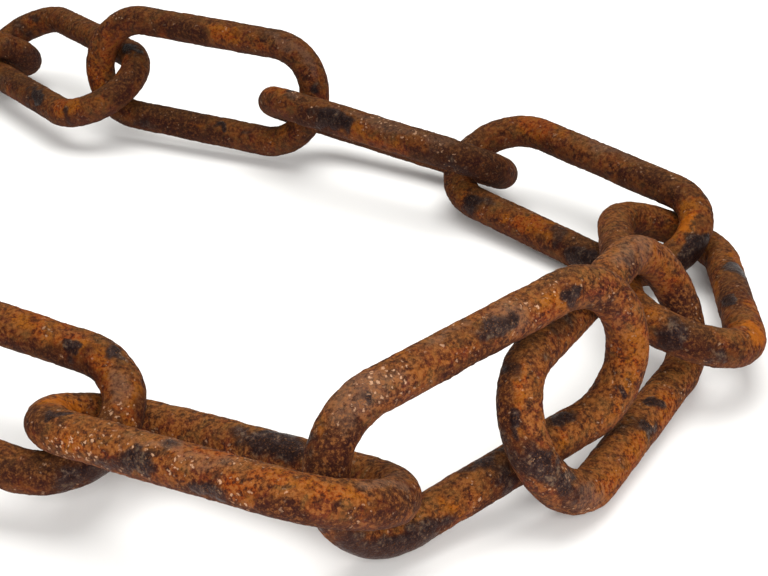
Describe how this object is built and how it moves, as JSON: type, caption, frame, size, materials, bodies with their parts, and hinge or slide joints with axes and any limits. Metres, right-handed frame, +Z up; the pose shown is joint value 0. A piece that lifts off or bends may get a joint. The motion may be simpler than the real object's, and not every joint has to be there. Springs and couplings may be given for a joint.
{
  "type": "iron chain heap",
  "caption": "Length of rusty long-link iron chain thrown down in a zigzag heap, its forged links hooked loosely through one another.",
  "frame": {"origin": "on the floor, under the centre of the heap's bounding box", "axes": "+Z up; +Y away from the viewer, from the near run of the chain to its far end; +X to the right, towards the fold"},
  "size_m": [0.4458, 0.4426, 0.0594],
  "materials": {
    "link_01_rust": "heavily rusted, pitted forged iron",
    "link_02_rust": "heavily rusted, pitted forged iron",
    "link_03_rust": "heavily rusted, pitted forged iron",
    "link_04_rust": "heavily rusted, pitted forged iron",
    "link_05_rust": "heavily rusted, pitted forged iron",
    "link_06_rust": "heavily rusted, pitted forged iron",
    "link_07_rust": "heavily rusted, pitted forged iron",
    "link_08_rust": "heavily rusted, pitted forged iron",
    "link_09_rust": "heavily rusted, pitted forged iron",
    "link_10_rust": "heavily rusted, pitted forged iron",
    "link_11_rust": "heavily rusted, pitted forged iron",
    "link_12_rust": "heavily rusted, pitted forged iron"
  },
  "bodies": {
    "link_01": {"link_01": "link_01_rust"},
    "link_02": {"link_02": "link_02_rust"},
    "link_03": {"link_03": "link_03_rust"},
    "link_04": {"link_04": "link_04_rust"},
    "link_05": {"link_05": "link_05_rust"},
    "link_06": {"link_06": "link_06_rust"},
    "link_07": {"link_07": "link_07_rust"},
    "link_08": {"link_08": "link_08_rust"},
    "link_09": {"link_09": "link_09_rust"},
    "link_10": {"link_10": "link_10_rust"},
    "link_11": {"link_11": "link_11_rust"},
    "link_12": {"link_12": "link_12_rust"}
  },
  "joints": [
    {"name": "bend_link_07_on_link_08", "type": "hinge", "parent": "link_08", "child": "link_07", "pos_m": [0.1837, -0.0963, 0.0333], "axis": [0, 0, -1], "range_deg": [-41, 25]},
    {"name": "bend_link_06_on_link_07", "type": "hinge", "parent": "link_07", "child": "link_06", "pos_m": [0.2046, -0.0262, 0.0105], "axis": [0, 0, -1], "range_deg": [-5, 15]},
    {"name": "bend_link_05_on_link_06", "type": "hinge", "parent": "link_06", "child": "link_05", "pos_m": [0.1381, 0.0262, 0.0212], "axis": [0, 0, 1], "range_deg": [-5, 41]},
    {"name": "bend_link_04_on_link_05", "type": "hinge", "parent": "link_05", "child": "link_04", "pos_m": [0.0681, 0.0539, 0.0161], "axis": [0, 0, -1], "range_deg": [-16, 12]},
    {"name": "bend_link_03_on_link_04", "type": "hinge", "parent": "link_04", "child": "link_03", "pos_m": [-0.0158, 0.0948, 0.0365], "axis": [0, 0, 1], "range_deg": [-63, 12]},
    {"name": "bend_link_02_on_link_03", "type": "hinge", "parent": "link_03", "child": "link_02", "pos_m": [-0.0672, 0.1313, 0.0243], "axis": [0, 0, 1], "range_deg": [-49, 2]},
    {"name": "bend_link_01_on_link_02", "type": "hinge", "parent": "link_02", "child": "link_01", "pos_m": [-0.13, 0.1677, 0.0189], "axis": [0, 0, 1], "range_deg": [-20, 18]},
    {"name": "bend_link_09_on_link_08", "type": "hinge", "parent": "link_08", "child": "link_09", "pos_m": [0.1643, -0.1421, 0.0447], "axis": [0, 0, -1], "range_deg": [-2, 21]},
    {"name": "bend_link_10_on_link_09", "type": "hinge", "parent": "link_09", "child": "link_10", "pos_m": [0.1012, -0.1945, 0.008], "axis": [0, 0, -1], "range_deg": [-16, 20]},
    {"name": "bend_link_11_on_link_10", "type": "hinge", "parent": "link_10", "child": "link_11", "pos_m": [0.0156, -0.1746, 0.0276], "axis": [0, 0, -1], "range_deg": [-1, 36]},
    {"name": "bend_link_12_on_link_11", "type": "hinge", "parent": "link_11", "child": "link_12", "pos_m": [-0.0618, -0.1362, 0.0336], "axis": [0, 0, -1], "range_deg": [-11, 14]}
  ]
}
